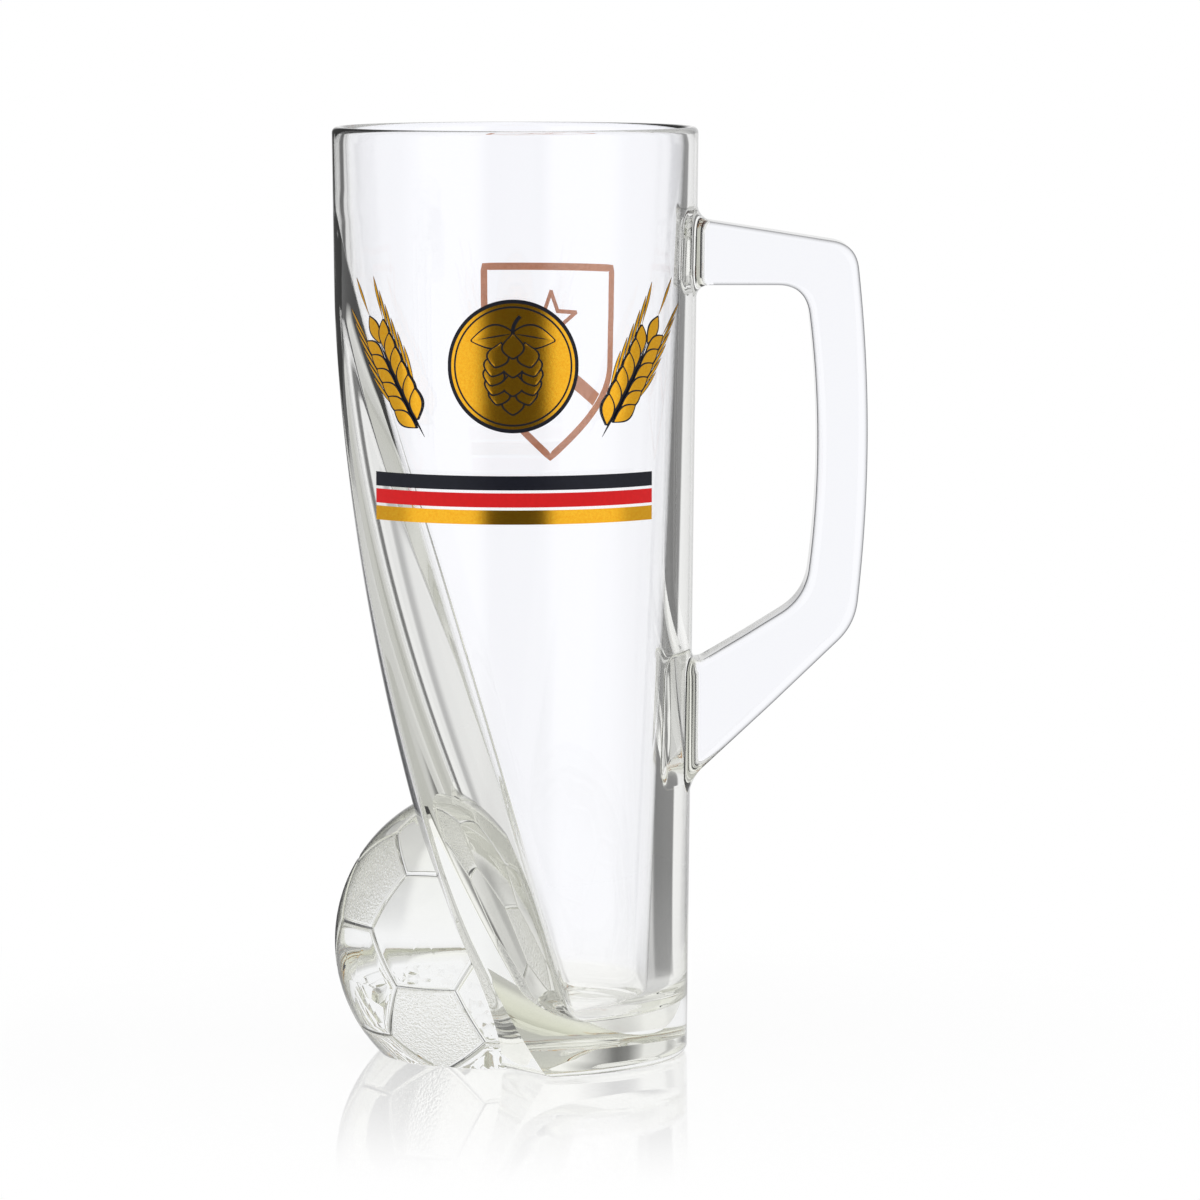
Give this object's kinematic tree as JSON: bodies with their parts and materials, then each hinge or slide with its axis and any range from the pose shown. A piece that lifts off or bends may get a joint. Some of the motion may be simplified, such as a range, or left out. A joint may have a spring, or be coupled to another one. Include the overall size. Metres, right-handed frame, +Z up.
{
  "type": "beer mug",
  "caption": "Tall tapered clear glass beer mug with one curved shaved side, a glass football seated at its foot, an angular side handle and fired enamel decoration.",
  "frame": {"origin": "centre of the box round the mug, on the surface that it stands on", "axes": "+Z up, +X towards the handle, -X towards the football, -Y towards the front decoration"},
  "size_m": [0.1148, 0.079, 0.2],
  "materials": {
    "pressed_glass": "clear, fire polished",
    "gold_enamel": "gold lustre, fired",
    "black_enamel": "gloss enamel, fired",
    "red_enamel": "gloss enamel, fired",
    "copper_enamel": "copper lustre, fired"
  },
  "bodies": {
    "root": {"vessel": "pressed_glass", "ball": "pressed_glass", "handle": "pressed_glass", "front_medallion": "gold_enamel", "front_ear_left": "gold_enamel", "front_ear_right": "gold_enamel", "front_stripe_black": "black_enamel", "front_stripe_red": "red_enamel", "front_stripe_gold": "gold_enamel", "rear_shield": "copper_enamel"}
  },
  "joints": []
}
